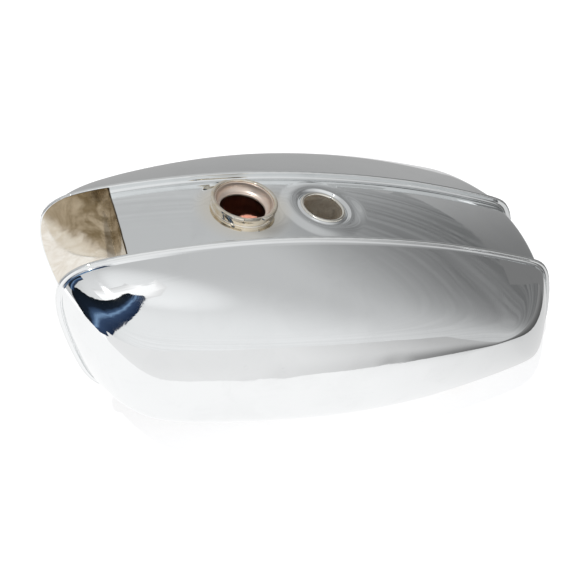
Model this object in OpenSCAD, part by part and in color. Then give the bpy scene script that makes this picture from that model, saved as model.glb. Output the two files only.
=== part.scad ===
// Twin-lobe motorcycle fuel tank, pressed and seam welded from sheet steel.
// Frame: X runs from the nose (-) to the tail (+), Y from the rider's left (-) to the right (+),
// Z up. The origin is on the floor under the middle of the tank, which rests on its two seams.

/* [Tank] */
// Length over the seams, nose to tail
tank_length = 503; // [480:1:525]
// Height over the seams
tank_height = 235; // [225:1:245]
// Distance between the planes of the two seams
seam_spacing = 100; // [96:1:106]
// How far each side pressing stands out from its seam
lobe_depth = 105; // [92:1:112]
// How much shallower each side pressing is at its ends
lobe_taper = 40; // [25:1:50]
// Thickness of the sheet steel
sheet = 1.4; // [1:0.1:1.8]

/* [Seams] */
// Height of the doubled edge that stands up from the side outline
flange_height = 3.5; // [3:0.1:5]
// Height of the weld bead that caps the doubled edge
bead_height = 1.5; // [1:0.1:2]
// How far the bead overhangs the doubled edge on each side
bead_overhang = 0.5; // [0.2:0.1:0.8]

/* [Top panel] */
// Distance from the nose of the lobes to the front edge of the top panel
head_gap_depth = 70; // [55:1:80]
// Height of the panel above the side outline along its middle
panel_crown = 1.5; // [0:0.1:2.5]
// Depth of the panel below the side outline along its edges
panel_edge_drop = 3; // [2:0.1:4]

/* [Filler] */
// Place of the filler along the top, counted in outline points from the nose
filler_station = 3.12; // [3.0:0.01:3.3]
// Lean of the filler towards the tail
filler_lean = 12; // [8:0.5:14]
// Height of the filler rim above the panel
filler_height = 10.5; // [9:0.5:14]
// Diameter over the rolled rim, for a 2.5 inch bayonet cap
filler_rim_d = 64; // [62:0.5:66]
// Diameter of the throat that the fuel goes through
throat_d = 44; // [38:0.5:48]
// Angle that each bayonet notch takes out of the rolled rim
notch_angle = 35; // [25:1:40]

/* [Centre mounting] */
// Place of the mounting tube along the top, counted in outline points from the nose
tube_station = 3.86; // [3.75:0.01:4.0]
// Lean of the mounting tube towards the tail
tube_lean = 17; // [12:0.5:19]
// Bore of the mounting tube
tube_bore = 38.2; // [34:0.2:40]
// Outside diameter of the dished collar around the tube
collar_d = 64; // [58:1:66]
// Depth of the groove in the dished collar
collar_dish = 3.2; // [2:0.1:4]
// Diameter of the hole for the centre bolt
bolt_hole_d = 13.5; // [11:0.5:16]
// Thickness of the bolt seat
bolt_seat_h = 6; // [4:0.5:8]

/* [Tunnel] */
// Height of the tunnel roof at its front end
tunnel_roof_z = 150; // [135:1:155]
// Fall of the tunnel roof towards the tail
tunnel_fall = 11; // [9:0.5:12]

/* [Fittings] */
// Outside diameter of a tap boss
tap_boss_d = 20; // [18:0.5:22]
// Thread-root bore of a tap boss, G 1/4
tap_bore_d = 11.45; // [11:0.05:12]
// Outside diameter of a balance pipe spigot
spigot_d = 8; // [6:0.5:10]
// How far a spigot stands down from its collar
spigot_reach = 16; // [12:0.5:18]
// Outside diameter of a tie boss
tie_boss_d = 16; // [14:1:20]
// Thread-root bore of a tie boss, M6
tie_bore_d = 5; // [4.8:0.1:5.2]
// Outside diameter of a badge bush
badge_bush_d = 7; // [6:0.5:9]
// Thread-root bore of a badge bush, M4
badge_bore_d = 3.3; // [3.2:0.1:3.4]

/* [Hidden] */

$fn = 96;
// Clearance between the tail panel's arch and the tunnel roof
gap = 0.01;

chrome = [0.80, 0.81, 0.83];
warm_nickel = [0.76, 0.71, 0.62];
steel = [0.55, 0.55, 0.56];
brass = [0.78, 0.63, 0.38];

// Side outline of a lobe: control points of a closed cubic B-spline in X and Z, at the nominal
// size, from the nose up over the top to the tail and back along the bottom
nominal_size = [503, 235];
NOMINAL_OUTLINE = [
    [-238, 120], [-254, 222], [-202, 233], [-72, 224], [32, 200], [132, 167], [222, 124], [240, 112],
    [248, 62], [248, 14], [240, 5], [186, 5], [94, 5], [4, 15], [-86, 36], [-170, 58], [-224, 72]
];
OUTLINE = [for (p = NOMINAL_OUTLINE)
    [p.x * tank_length / nominal_size.x, p.y * tank_height / nominal_size.y]];
spans = len(OUTLINE);
steps_per_span = 6;
ring_size = spans * steps_per_span;

// The side pressing is a stack of rings: the outline drawn in towards a level line inside the lobe
spine_share = 0.62;
spine_z = tank_height * 0.492;
lobe_radius = 100;
crown_power = 3.1;
shoulder_power = 0.91;
RING_SCALES = [1, 0.985, 0.96, 0.92, 0.86, 0.78, 0.68, 0.55, 0.4, 0.25, 0.1];

seam_y = seam_spacing / 2;
inner_y = seam_y - sheet;
nose_x = -tank_length / 2 + 1;
panel_front_x = nose_x + head_gap_depth;
bead_inset = sheet + bead_overhang;
// Steps along the outline where the top panel starts, where it meets the tail panel and where that ends
panel_first_step = 11;
panel_last_step = 44;
tail_last_step = 54;

// Filler, below the sizes that a cap or a nozzle meets
neck_wall_r = 29.5;
neck_wall = 1.2;
rim_bead_r = 1.1;
rim_land = 1;
neck_inner_r = neck_wall_r - neck_wall;
rim_height = 2 * rim_bead_r + rim_land;
notch_floor = 0.4;
foot_r = 31;
throat_lip = 3;
notch_centre = -87.5;

// Mounting tube and its collar
tube_r = tube_bore / 2;
tube_wall = 1.4;
tube_bead_r = 1.8;
tube_length = 100;
tube_entry_depth = 30;
collar_edge_drop = 0.4;
collar_neck_drop = 1.2;
solder_size = 1.4;

// The fittings under a lobe stand on its outside at one scale, each at its own station
underside_scale = 0.93;
tap_station = 11.5;
tap_boss_h = 20;
tap_boss_proud = 6;
spigot_station = 13.6;
spigot_wall = 1.2;
spigot_collar_d = spigot_d + 4;
spigot_collar_h = 9;
spigot_collar_proud = 4;
tie_station = 14.6;
tie_boss_h = 14;
tie_boss_proud = 4;
tie_boss_floor = 3;
// Each badge bush as a station along the outline and a scale towards the middle of the lobe
BADGE_PLACES = [[2.565, 0.397], [2.936, 0.345]];
badge_bush_length = 9;
badge_bush_proud = 0.1;
badge_bush_floor = 2;
normal_step = 0.01;

/* Outline geometry */

function outline_point(i) = OUTLINE[(i + spans) % spans];

function weighted_points(u, w) =
    let (i = floor(u))
    w[0] * outline_point(i - 1) + w[1] * outline_point(i) + w[2] * outline_point(i + 1)
    + w[3] * outline_point(i + 2);

function place_weights(t) =
    [pow(1 - t, 3), 3 * pow(t, 3) - 6 * t * t + 4, -3 * pow(t, 3) + 3 * t * t + 3 * t + 1, pow(t, 3)] / 6;

function slope_weights(t) = [-pow(1 - t, 2), 3 * t * t - 4 * t, -3 * t * t + 2 * t + 1, t * t] / 2;

// Point of the outline at station u, moved outwards along its normal
function outline_at(u, out = 0) =
    let (
        t = u - floor(u),
        p = weighted_points(u, place_weights(t)),
        s = weighted_points(u, slope_weights(t))
    )
    p + out * [-s.y, s.x] / norm(s);

function outline_ring(out) = [for (i = [0 : ring_size - 1]) outline_at(i / steps_per_span, out)];

/* Lobe surface */

// Height of the crowned shell above its seam, as a share of its depth
function shell_rise(scale) = pow(1 - pow(scale, crown_power), shoulder_power);

// Point of the right-hand shell: scale 1 is the seam and 0 the line along the widest part;
// skin 0 is the outside of the sheet and 1 the inside
function lobe_point(u, scale, skin = 0) =
    let (
        rim = outline_at(u),
        partner = outline_at((spans - u) % spans),
        middle_x = (rim.x + partner.x) / 2,
        spine = [spine_share * middle_x, spine_z],
        flat = spine + (rim - spine) * scale * (1 - skin * sheet / lobe_radius),
        depth = lobe_depth - lobe_taper * pow(2 * flat.x / tank_length, 2) - sheet
    )
    [flat.x, seam_y + (1 - skin) * sheet + depth * shell_rise(scale), flat.y];

// Direction that the outside of the right-hand shell faces
function lobe_normal(u, scale) =
    let (
        along = lobe_point(u + normal_step, scale) - lobe_point(u - normal_step, scale),
        across = lobe_point(u, scale + normal_step) - lobe_point(u, scale - normal_step),
        n = cross(along, across)
    )
    n / norm(n) * sign(n.y);

function lobe_ring(scale, skin) =
    [for (i = [0 : ring_size - 1]) lobe_point(i / steps_per_span, scale, skin)];

function flat_ring(out, y) = [for (p = outline_ring(out)) [p.x, y, p.y]];

// Side faces of a stack of rings that each have n points
function stack_faces(rings, n) = [
    for (k = [0 : rings - 2], i = [0 : n - 1])
        let (a = k * n + i, b = k * n + (i + 1) % n)
        each [[a, b, b + n], [a, b + n, a + n]]
];

// Faces that close a ring across its own middle line
function zip_faces(first, n) = [
    for (i = [0 : n / 2 - 1])
        each concat(
            i < n / 2 - 1 ? [[first + i, first + i + 1, first + n - i - 1]] : [],
            i > 0 ? [[first + i, first + n - i - 1, first + n - i]] : []
        )
];

function reversed_list(list) = [for (i = [len(list) - 1 : -1 : 0]) list[i]];

function flipped(faces) = [for (f = faces) [f[2], f[1], f[0]]];

module right_lobe_shell() {
    rings = concat(
        [for (s = reversed_list(RING_SCALES)) lobe_ring(s, 1)],
        [flat_ring(flange_height, seam_y), flat_ring(flange_height, seam_y + sheet)],
        [for (s = RING_SCALES) lobe_ring(s, 0)]
    );
    count = len(rings);
    polyhedron(
        points = [for (r = rings) each r],
        faces = concat(
            flipped(stack_faces(count, ring_size)),
            zip_faces(0, ring_size),
            flipped(zip_faces((count - 1) * ring_size, ring_size))
        ),
        convexity = 6
    );
}

/* Shared helpers */

// Draws a right-hand piece on the rider's left
module on_left() {
    mirror([0, 1, 0]) children();
}

// A plate in the X-Z plane between two Y values, cut to the side outline
module outline_plate(out, y_from, y_to) {
    translate([0, y_to, 0])
        rotate([90, 0, 0])
            linear_extrude(y_to - y_from)
                polygon(outline_ring(out));
}

// Everything behind the front edge of the top panel
module behind_head_gap() {
    translate([panel_front_x, -seam_spacing, -tank_height])
        cube([2 * tank_length, 2 * seam_spacing, 3 * tank_height]);
}

// Solid of the tunnel: an upside-down U whose top falls towards the tail
module tunnel_form(radius) {
    translate([panel_front_x, 0, tunnel_roof_z - seam_y])
        rotate([0, tunnel_fall, 0])
            rotate([90, 0, 90])
                translate([0, 0, -tank_length / 2])
                    linear_extrude(2 * tank_length) {
                        circle(radius);
                        translate([-radius, -2 * tank_height])
                            square([2 * radius, 2 * tank_height]);
                    }
}

// Puts a turned piece on the middle line of the top panel
module on_panel(station, lean) {
    place = outline_at(station, panel_crown);
    translate([place.x, 0, place.y])
        rotate([0, lean, 0])
            children();
}

module on_filler() {
    on_panel(filler_station, filler_lean) children();
}

module on_tube() {
    on_panel(tube_station, tube_lean) children();
}

/* Sheet-metal pieces */

module right_side_shell() {
    difference() {
        right_lobe_shell();
        tap_boss_body(tap_boss_d);
        spigot_collar_body(spigot_collar_d);
        tie_boss_body(tie_boss_d);
        badge_bush_bodies();
    }
}

module left_side_pressing() {
    color(chrome) on_left() right_side_shell();
}

module right_side_pressing() {
    color(chrome) right_side_shell();
}

// Triangles that fill a section between its upper line, 0 to m - 1, and the lower line that follows
function section_cap(m) = [
    for (i = [0 : m - 2])
        let (a = i, b = i + 1, c = 2 * m - 2 - i, d = 2 * m - 1 - i)
        each i < m / 2 - 1 ? [[a, d, b], [b, d, c]] : [[a, c, b], [a, d, c]]
];

// Sweeps a band along the outline, between two lines of [Y, height above the outline]
module swept_band(upper, lower, first_step, last_step) {
    section = concat(upper, reversed_list(lower));
    n = len(section);
    cap = section_cap(len(upper));
    stations = [for (i = [first_step : last_step]) i / steps_per_span];
    last = (len(stations) - 1) * n;
    polyhedron(
        points = [for (u = stations, c = section) let (p = outline_at(u, c.y)) [p.x, c.x, p.y]],
        faces = concat(
            stack_faces(len(stations), n),
            cap,
            [for (f = flipped(cap)) [for (v = f) v + last]]
        ),
        convexity = 6
    );
}

// The crowned top surface of the panel, moved up by a height, from the left edge to the right
function crown_line(height) = [
    for (s = [-1 : 0.2 : 1])
        [s * inner_y, panel_crown - (panel_crown + panel_edge_drop) * s * s + height]
];

// The panel in section: a crowned sheet whose edges turn up against the flanges
function panel_upper_line() = concat(
    [[-seam_y, flange_height], [-inner_y, flange_height]],
    crown_line(0),
    [[inner_y, flange_height], [seam_y, flange_height]]
);

function panel_lower_line() =
    let (edge = -panel_edge_drop - sheet, middle_y = seam_y - sheet / 2)
    concat(
        [[-seam_y, edge], [-middle_y, edge]],
        crown_line(-sheet),
        [[middle_y, edge], [seam_y, edge]]
    );

module top_panel() {
    color(chrome)
        difference() {
            intersection() {
                swept_band(panel_upper_line(), panel_lower_line(), panel_first_step, panel_last_step);
                behind_head_gap();
            }
            on_filler() cylinder(h = 20, r = foot_r, center = true);
            on_tube() cylinder(h = 20, d = collar_d, center = true);
        }
}

module tail_panel() {
    color(chrome)
        difference() {
            swept_band(panel_upper_line(), panel_lower_line(), panel_last_step, tail_last_step);
            tunnel_form(seam_y + gap);
        }
}

module tunnel_pressing() {
    color(steel)
        difference() {
            intersection() {
                outline_plate(flange_height, -seam_y, seam_y);
                behind_head_gap();
                difference() {
                    tunnel_form(seam_y);
                    tunnel_form(inner_y);
                }
            }
            on_tube()
                translate([0, 0, -tube_length])
                    cylinder(h = tube_entry_depth, r = tube_r + tube_wall);
        }
}

module head_cheek() {
    difference() {
        outline_plate(flange_height, inner_y, seam_y);
        behind_head_gap();
    }
}

module left_head_cheek() {
    color(warm_nickel) on_left() head_cheek();
}

module right_head_cheek() {
    color(warm_nickel) head_cheek();
}

module head_closing_plate() {
    color(warm_nickel)
        difference() {
            intersection() {
                outline_plate(flange_height, -inner_y, inner_y);
                translate([panel_front_x, -inner_y, 0])
                    cube([sheet, 2 * inner_y, 2 * tank_height]);
            }
            tunnel_form(seam_y);
            swept_band(crown_line(30), crown_line(-sheet), panel_first_step, panel_last_step);
        }
}

// Weld bead that caps the doubled edge all the way round a lobe
module right_bead() {
    low = flange_height;
    middle = flange_height + bead_height / 2;
    high = flange_height + bead_height;
    crest = bead_inset * 0.7;
    rings = [
        flat_ring(low, seam_y - bead_inset), flat_ring(middle, seam_y - bead_inset),
        flat_ring(high, seam_y - crest), flat_ring(high, seam_y + crest),
        flat_ring(middle, seam_y + bead_inset), flat_ring(low, seam_y + bead_inset)
    ];
    polyhedron(
        points = [for (r = rings) each r],
        faces = flipped(concat(
            stack_faces(len(rings), ring_size),
            [for (f = stack_faces(2, ring_size))
                [for (v = f) v < ring_size ? v + (len(rings) - 1) * ring_size : v - ring_size]]
        )),
        convexity = 6
    );
}

module left_seam_bead() {
    color(chrome) on_left() right_bead();
}

module right_seam_bead() {
    color(chrome) right_bead();
}

/* Filler */

// The neck in section: a foot, a wall and a rolled edge with a straight outside
module neck_section() {
    rim_r = filler_rim_d / 2;
    rim_z = filler_height - rim_height;
    translate([neck_inner_r, -sheet]) square([neck_wall, filler_height + sheet]);
    translate([neck_inner_r, -sheet]) square([foot_r - neck_inner_r, sheet]);
    for (z = [rim_z + rim_bead_r, filler_height - rim_bead_r])
        translate([rim_r - rim_bead_r, z]) circle(rim_bead_r);
    translate([neck_wall_r - neck_wall / 2, rim_z + rim_bead_r])
        square([rim_r - neck_wall_r + neck_wall / 2, rim_land]);
    translate([neck_wall_r - neck_wall / 2, rim_z])
        square([rim_r - rim_bead_r - neck_wall_r + neck_wall / 2, rim_height]);
}

module filler_neck() {
    color(warm_nickel)
        on_filler()
            difference() {
                rotate_extrude() neck_section();
                for (turn = [0, 180])
                    rotate(notch_centre - notch_angle / 2 + turn)
                        rotate_extrude(angle = notch_angle)
                            translate([neck_wall_r + notch_floor, filler_height - rim_height - 1])
                                square([foot_r, rim_height + 2]);
            }
}

// Inner funnel, which hangs from the neck and ends in the throat lip
module filler_throat() {
    throat_r = throat_d / 2;
    top = filler_height - rim_height / 2;
    function funnel_r(s) = neck_inner_r - (neck_inner_r - throat_r - neck_wall) * (1 - cos(90 * s));
    curve = [for (s = [0 : 0.125 : 1]) [funnel_r(s), top * (1 - sin(90 * s))]];
    color(warm_nickel)
        on_filler()
            rotate_extrude()
                polygon(concat(
                    curve,
                    [[throat_r + neck_wall, -throat_lip], [throat_r, -throat_lip]],
                    [for (p = reversed_list(curve)) [p.x - neck_wall, p.y]]
                ));
}

module filler_solder_fillet() {
    color(warm_nickel)
        on_filler()
            rotate_extrude()
                difference() {
                    translate([neck_wall_r, 0]) square(solder_size);
                    translate([neck_wall_r + solder_size, solder_size]) circle(solder_size);
                }
}

/* Centre mounting */

module mounting_tube() {
    color(warm_nickel)
        on_tube()
            rotate_extrude() {
                translate([tube_r, -tube_length])
                    square([tube_wall, tube_length - tube_bead_r]);
                translate([tube_r + tube_bead_r, -tube_bead_r])
                    circle(tube_bead_r);
            }
}

module tube_collar() {
    inside_r = tube_r + 2 * tube_bead_r;
    outside_r = collar_d / 2;
    function dish(s) = [
        inside_r + (outside_r - inside_r) * s,
        -collar_dish * sin(180 * s) - collar_edge_drop - collar_neck_drop * (1 - s)
    ];
    curve = [for (s = [0 : 0.0625 : 1]) dish(s)];
    color(warm_nickel)
        on_tube()
            difference() {
                rotate_extrude()
                    polygon(concat(curve, [for (p = reversed_list(curve)) [p.x, p.y - sheet]]));
                rotate_extrude()
                    translate([tube_r + tube_bead_r, -tube_bead_r]) circle(tube_bead_r);
            }
}

module bolt_seat() {
    color(steel)
        on_tube()
            translate([0, 0, -tube_length - bolt_seat_h])
                difference() {
                    cylinder(h = bolt_seat_h, r = tube_r + tube_wall);
                    translate([0, 0, -1]) cylinder(h = bolt_seat_h + 2, d = bolt_hole_d);
                }
}

/* Threaded bosses and spigots */

// Puts a piece on the underside of the right-hand lobe
module under_lobe(station) {
    translate(lobe_point(station, underside_scale)) children();
}

// An upright cylinder on the underside, from a height below its surface up into the lobe
module underside_cylinder(station, diameter, low, height) {
    under_lobe(station)
        translate([0, 0, low])
            cylinder(h = height, d = diameter);
}

module tap_boss_body(diameter) {
    underside_cylinder(tap_station, diameter, -tap_boss_proud, tap_boss_h);
}

module right_tap_piece() {
    difference() {
        tap_boss_body(tap_boss_d);
        underside_cylinder(tap_station, tap_bore_d, -tap_boss_proud - 1, tap_boss_h + 2);
    }
}

module left_tap_boss() {
    color(brass) on_left() right_tap_piece();
}

module right_tap_boss() {
    color(brass) right_tap_piece();
}

module spigot_collar_body(diameter) {
    underside_cylinder(spigot_station, diameter, -spigot_collar_proud, spigot_collar_h);
}

module right_spigot() {
    tip = -spigot_collar_proud - spigot_reach;
    difference() {
        union() {
            spigot_collar_body(spigot_collar_d);
            underside_cylinder(spigot_station, spigot_d, tip, spigot_reach + 1);
        }
        underside_cylinder(
            spigot_station, spigot_d - 2 * spigot_wall, tip - 1, spigot_reach + spigot_collar_h + 2);
    }
}

module left_balance_spigot() {
    color(brass) on_left() right_spigot();
}

module right_balance_spigot() {
    color(brass) right_spigot();
}

module tie_boss_body(diameter) {
    underside_cylinder(tie_station, diameter, -tie_boss_proud, tie_boss_h);
}

module right_tie() {
    difference() {
        tie_boss_body(tie_boss_d);
        translate([0, 0, -tie_boss_floor]) tie_boss_body(tie_bore_d);
    }
}

module left_tie_boss() {
    color(steel) on_left() right_tie();
}

module right_tie_boss() {
    color(steel) right_tie();
}

// Cylinders square to the shell at the badge screws, from a height above or below its surface
module badge_cylinders(diameter, bottom, height) {
    for (b = BADGE_PLACES) {
        n = lobe_normal(b[0], b[1]);
        translate(lobe_point(b[0], b[1]))
            rotate([0, acos(n.z), atan2(n.y, n.x)])
                translate([0, 0, bottom])
                    cylinder(h = height, d = diameter);
    }
}

module badge_bush_bodies() {
    badge_cylinders(badge_bush_d, badge_bush_proud - badge_bush_length, badge_bush_length);
}

module right_badge_pieces() {
    difference() {
        badge_bush_bodies();
        badge_cylinders(
            badge_bore_d, badge_bush_proud - badge_bush_length + badge_bush_floor, badge_bush_length);
    }
}

module left_badge_bushes() {
    color(brass) on_left() right_badge_pieces();
}

module right_badge_bushes() {
    color(brass) right_badge_pieces();
}

left_side_pressing();
right_side_pressing();
top_panel();
tail_panel();
tunnel_pressing();
left_head_cheek();
right_head_cheek();
head_closing_plate();
left_seam_bead();
right_seam_bead();
filler_neck();
filler_throat();
filler_solder_fillet();
mounting_tube();
tube_collar();
bolt_seat();
left_tap_boss();
right_tap_boss();
left_balance_spigot();
right_balance_spigot();
left_tie_boss();
right_tie_boss();
left_badge_bushes();
right_badge_bushes();
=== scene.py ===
"""The looks of a chrome-plated twin-lobe motorcycle fuel tank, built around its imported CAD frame.

X runs from the nose (-) to the tail (+), Y from the rider's left (-) to the right (+), Z up.
Sizes below are in millimetres; meshes are written in metres.
"""

import math

import bmesh
import bpy
import numpy as np
from mathutils import Matrix, Vector


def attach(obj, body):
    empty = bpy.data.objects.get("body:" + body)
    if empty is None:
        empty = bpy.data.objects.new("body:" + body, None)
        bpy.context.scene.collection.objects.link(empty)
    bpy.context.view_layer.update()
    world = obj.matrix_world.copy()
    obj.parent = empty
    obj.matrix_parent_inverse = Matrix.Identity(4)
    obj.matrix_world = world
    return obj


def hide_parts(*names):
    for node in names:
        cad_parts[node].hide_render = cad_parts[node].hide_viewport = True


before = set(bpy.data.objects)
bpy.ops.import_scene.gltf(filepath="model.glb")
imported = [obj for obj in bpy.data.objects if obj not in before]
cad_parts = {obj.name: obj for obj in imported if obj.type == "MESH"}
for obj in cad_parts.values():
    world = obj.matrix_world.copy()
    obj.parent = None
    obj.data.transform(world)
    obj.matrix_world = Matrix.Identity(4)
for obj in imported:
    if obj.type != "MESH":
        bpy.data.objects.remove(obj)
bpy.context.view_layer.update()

MM = 0.001

# ---------------------------------------------------------------- sizes

TANK_LENGTH = 503.0
TANK_HEIGHT = 235.0
SEAM_Y = 50.0
SHEET = 1.4
INNER_Y = SEAM_Y - SHEET
LOBE_DEPTH = 105.0
LOBE_TAPER = 40.0
FLANGE_HEIGHT = 3.5
FLANGE_GAP = 0.05
BEAD_HEIGHT = 1.5
BEAD_HALF_WIDTH = 1.9
PANEL_FRONT_X = -180.5
PANEL_CROWN = 1.5
PANEL_EDGE_DROP = 3.0
PANEL_EDGE_RADIUS = 3.2
PANEL_REACH = 20.0
PANEL_END = 44 / 6
TAIL_END = 54 / 6
TUNNEL_ROOF_Z = 150.0
TUNNEL_FALL = 11.0

OUTLINE = np.array([
    [-238, 120], [-254, 222], [-202, 233], [-72, 224], [32, 200], [132, 167], [222, 124], [240, 112],
    [248, 62], [248, 14], [240, 5], [186, 5], [94, 5], [4, 15], [-86, 36], [-170, 58], [-224, 72],
], float)
SPANS = len(OUTLINE)
SPINE_SHARE = 0.62
SPINE_Z = TANK_HEIGHT * 0.492
CROWN_POWER = 3.1
SHOULDER_POWER = 0.91
ROOT_FILLET = 2.6
LOBE_HALF_HEIGHT = 100.0
DIPS = ((-98, 158, 8, 0.4), (-64, 151, 8, 0.4), (40, 133, 8, 0.45))

# Stations count the outline's control points from the nose, over the top and back below.
FILLER_STATION = 3.12
FILLER_LEAN = 12.0
FILLER_HEIGHT = 10.5
RIM_R = 32.0
NECK_WALL_R = 29.5
NECK_WALL = 1.2
NECK_INNER_R = NECK_WALL_R - NECK_WALL
RIM_BEAD_R = 1.1
RIM_HEIGHT = 3.2
THROAT_R = 22.0
THROAT_LIP = 3.0
NOTCH_CENTRE = -87.5
NOTCH_ANGLE = 35.0
NOTCH_SLOPE = 1.2
NECK_BLEND_R = 47.0

TUBE_STATION = 3.86
TUBE_LEAN = 17.0
TUBE_R = 19.1
TUBE_WALL = 1.4
TUBE_BEAD_R = 1.8
TUBE_LENGTH = 100.0
COLLAR_R = 32.0
COLLAR_DISH = 2.2
COLLAR_SINK = 0.45
COLLAR_BLEND_R = 44.0
BRIGHT_MOUTH = 2.2
GROOVE_SHARE = 0.62
BOLT_SEAT_H = 6.0
BOLT_HOLE_R = 6.75
BOLT_SEAT_CHAMFER = 0.8

UNDERSIDE_SCALE = 0.93
TAP_STATION = 11.5
TAP_RISE = 14.0
TAP_BOSS = dict(outer_r=10.0, bore_r=5.725, length=20.0, pitch=1.337)
TIE_STATION = 14.6
TIE_RISE = 10.0
TIE_BOSS = dict(outer_r=8.0, bore_r=2.5, length=14.0, pitch=1.0, floor=3.0)
SPIGOT_STATION = 13.6
SPIGOT_RISE = 5.0
BADGE_PLACES = ((2.565, 0.397), (2.936, 0.345))
BADGE_BUSH = dict(outer_r=2.6, bore_r=1.65, length=9.0, pitch=0.7, floor=2.0)
BUSH_PROUD = 0.06
BUSH_PLATING = 0.6


# ---------------------------------------------------------------- outline and lobe surface


def weights(u, slope=False):
    """The four cubic B-spline weights at station u, or those of its slope."""
    t = u - np.floor(u)
    if slope:
        rows = [-(1 - t) ** 2, 3 * t * t - 4 * t, -3 * t * t + 2 * t + 1, t * t]
        return np.stack(rows) / 2
    rows = [(1 - t) ** 3, 3 * t**3 - 6 * t * t + 4, -3 * t**3 + 3 * t * t + 3 * t + 1, t**3]
    return np.stack(rows) / 6


def outline_at(u, out=0.0):
    """Points [x, z] of the side outline at stations u, moved outwards by out."""
    u = np.asarray(u, float)
    first = np.floor(u).astype(int)
    near = np.stack([OUTLINE[(first + k) % SPANS] for k in (-1, 0, 1, 2)])
    place = (weights(u)[..., None] * near).sum(0)
    slope = (weights(u, True)[..., None] * near).sum(0)
    normal = np.stack([-slope[..., 1], slope[..., 0]], -1)
    normal /= np.linalg.norm(normal, axis=-1, keepdims=True)
    return place + normal * np.asarray(out)[..., None]


def outline_row(u, out, y):
    """Points at stations u of the outline, moved outwards by out, with their Y value."""
    flat = outline_at(u, out)
    return np.stack([flat[:, 0], np.full(len(u), y), flat[:, 1]], -1)


def dip(flat):
    """How far the lobe's crown dips at the two bushes and at one old knock."""
    total = 0.0
    for x, z, width, depth in DIPS:
        total += depth * np.exp(-((flat[..., 0] - x) ** 2 + (flat[..., 1] - z) ** 2) / (2 * width**2))
    return total


def lobe_at(u, scale, skin=0.0):
    """Points of the right-hand lobe: scale 1 is the seam, 0 its widest line; skin 1 is inside."""
    u = np.asarray(u, float)
    rim = outline_at(u)
    middle_x = (rim[..., 0] + outline_at((SPANS - u) % SPANS)[..., 0]) / 2
    spine = np.stack([SPINE_SHARE * middle_x, np.full_like(middle_x, SPINE_Z)], -1)
    inset = 1 - skin * SHEET / LOBE_HALF_HEIGHT
    flat = spine + (rim - spine) * np.asarray(scale)[..., None] * inset
    depth = LOBE_DEPTH - LOBE_TAPER * (2 * flat[..., 0] / TANK_LENGTH) ** 2 - SHEET
    rise = (1 - np.asarray(scale) ** CROWN_POWER) ** SHOULDER_POWER
    y = SEAM_Y + (1 - skin) * SHEET + depth * rise - dip(flat)
    return np.stack([flat[..., 0], y, flat[..., 1]], -1)


# ---------------------------------------------------------------- mesh helpers


def in_scene(name, data):
    """A new object of the scene that holds a mesh, a camera or a lamp."""
    obj = bpy.data.objects.new(name, data)
    bpy.context.scene.collection.objects.link(obj)
    return obj


def new_object(name, points, faces, material, smooth=True):
    """A mesh object from points in millimetres."""
    mesh = bpy.data.meshes.new(name)
    mesh.from_pydata([tuple(p) for p in np.asarray(points, float) * MM], [], [tuple(f) for f in faces])
    mesh.update()
    mesh.materials.append(material)
    if smooth:
        mesh.shade_smooth()
    return in_scene(name, mesh)


def fix_normals(obj):
    """Turns every face of a closed piece outwards."""
    work = bmesh.new()
    work.from_mesh(obj.data)
    bmesh.ops.remove_doubles(work, verts=work.verts, dist=1e-7)
    bmesh.ops.recalc_face_normals(work, faces=work.faces)
    work.to_mesh(obj.data)
    work.free()


def sharp_edges(obj, degrees=35.0):
    """Keeps edges that bend by more than an angle crisp under smooth shading."""
    obj.data.set_sharp_from_angle(angle=math.radians(degrees))


def quads(rows, columns, closed_rows=False, closed_columns=False):
    """Faces of a grid of points that is stored row after row."""
    faces = []
    for r in range(rows if closed_rows else rows - 1):
        for c in range(columns if closed_columns else columns - 1):
            below = ((r + 1) % rows) * columns
            right = (c + 1) % columns
            faces.append((r * columns + c, r * columns + right, below + right, below + c))
    return faces


def prism(name, near, far, material):
    """A closed piece between two outlines with the same count of corners."""
    count = len(near)
    faces = quads(2, count, closed_columns=True)
    faces += [tuple(range(count)), tuple(range(count, 2 * count))]
    return new_object(name, near + far, faces, material)


def second_material(obj, material, takes_it):
    """Gives a second material to the faces whose centre passes a test."""
    obj.data.materials.append(material)
    for face in obj.data.polygons:
        face.material_index = int(takes_it(face.center))


def finish_piece(obj, slot, *nodes):
    """Fixes a piece to the tank and hides the CAD nodes it stands for; its slot is not used."""
    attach(obj, "root")
    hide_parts(*nodes)


def mirrored(obj, name):
    """A copy of a right-hand piece on the rider's left."""
    mesh = obj.data.copy()
    mesh.name = name
    mesh.transform(Matrix.Diagonal((1, -1, 1, 1)))
    mesh.flip_normals()
    return in_scene(name, mesh)


def panel_place(station, lean):
    """The matrix that puts a turned piece on the middle line of the top panel."""
    x, z = outline_at(np.array(station), PANEL_CROWN)
    turn = Matrix.Rotation(math.radians(lean), 4, "Y")
    return Matrix.Translation((x * MM, 0, z * MM)) @ turn


FILLER_PLACE = panel_place(FILLER_STATION, FILLER_LEAN)
TUBE_PLACE = panel_place(TUBE_STATION, TUBE_LEAN)


def toward(place, direction):
    """A matrix at a place in millimetres whose Z points along a direction."""
    turn = Vector(direction).to_track_quat("Z", "Y").to_matrix().to_4x4()
    return Matrix.Translation(Vector(place) * MM) @ turn


def lathe(name, profile, material, place, segments=192):
    """A turned piece from a closed profile of [radius, height]."""
    profile = np.asarray(profile, float)
    angles = np.linspace(0, 2 * math.pi, segments, endpoint=False)
    ring = np.stack([np.cos(angles), np.sin(angles)], -1)
    points = [[r * c, r * s, h] for r, h in profile for c, s in ring]
    faces = quads(len(profile), segments, closed_rows=True, closed_columns=True)
    obj = new_object(name, points, faces, material)
    obj.data.transform(place)
    fix_normals(obj)
    return obj


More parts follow.
